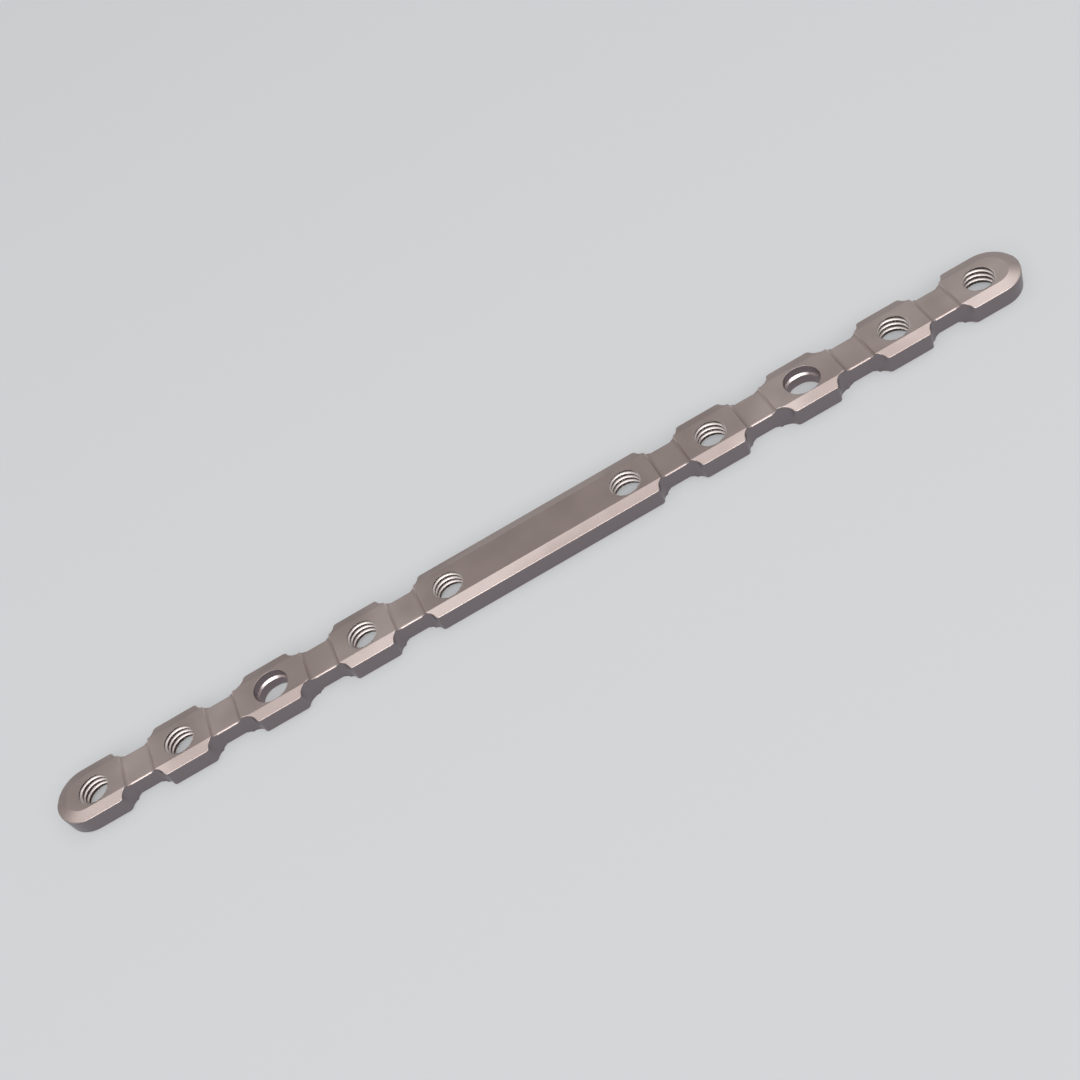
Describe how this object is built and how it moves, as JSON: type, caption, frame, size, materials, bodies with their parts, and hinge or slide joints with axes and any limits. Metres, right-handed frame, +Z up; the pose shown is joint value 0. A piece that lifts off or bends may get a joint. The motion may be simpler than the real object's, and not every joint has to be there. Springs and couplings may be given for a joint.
{
  "type": "orthopedic bone plate",
  "caption": "Slim straight locking bone plate with scalloped pads, necked links for bending, threaded locking holes, compression slots and round ends.",
  "frame": {"origin": "Middle of the plate's underside, the face that lies on the bone.", "axes": "X along the plate, Y across it, Z up out of the face that the screws enter."},
  "size_m": [0.09, 0.0052, 0.0022],
  "materials": {
    "titanium": "titanium alloy, milled and tumbled to a soft satin"
  },
  "bodies": {
    "root": {"bone_plate": "titanium"}
  },
  "joints": []
}
